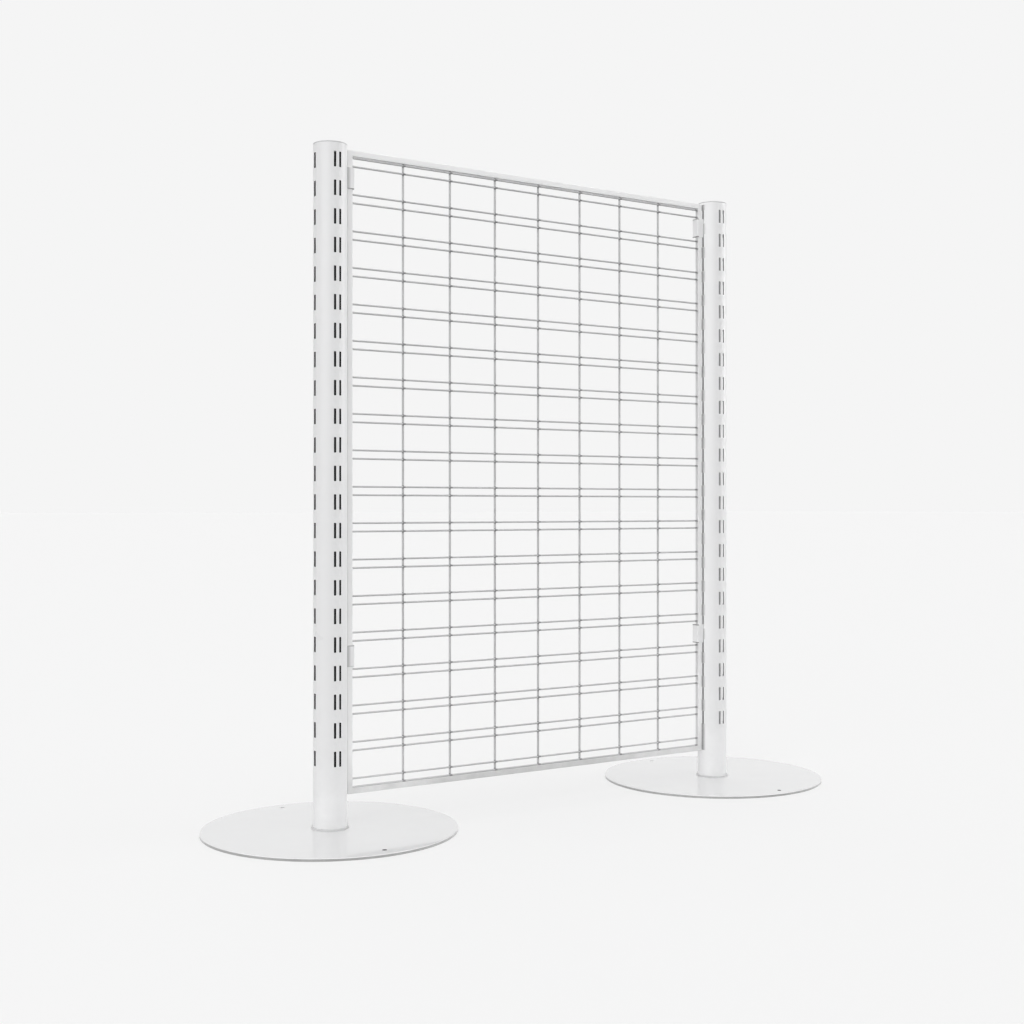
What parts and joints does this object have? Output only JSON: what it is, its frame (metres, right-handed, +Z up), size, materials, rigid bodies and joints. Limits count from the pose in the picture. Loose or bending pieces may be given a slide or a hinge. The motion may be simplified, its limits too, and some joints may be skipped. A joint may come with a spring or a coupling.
{
  "type": "mesh partition panel",
  "caption": "Free-standing partition: a framed welded-wire mesh panel hooked between slotted round posts on round floor plates.",
  "frame": {"origin": "on the floor midway between the two posts", "axes": "+X along the panel towards the right post, -Y towards the viewer, +Z up"},
  "size_m": [1.3469, 0.452, 1.2115],
  "materials": {
    "plate_paint": "satin off-white powder coat",
    "post_paint": "satin off-white powder coat",
    "cap_plastic": "matte pale grey moulding",
    "frame_paint": "satin off-white powder coat",
    "wire_paint": "satin pale grey coat",
    "bracket_paint": "satin off-white powder coat"
  },
  "bodies": {
    "root": {"left_floor_plate": "plate_paint", "right_floor_plate": "plate_paint", "left_post": "post_paint", "right_post": "post_paint", "left_post_cap": "cap_plastic", "right_post_cap": "cap_plastic", "left_stile": "frame_paint", "right_stile": "frame_paint", "top_rail": "frame_paint", "bottom_rail": "frame_paint", "wire_mesh": "wire_paint", "upper_left_bracket": "bracket_paint", "lower_left_bracket": "bracket_paint", "upper_right_bracket": "bracket_paint", "lower_right_bracket": "bracket_paint"}
  },
  "joints": []
}
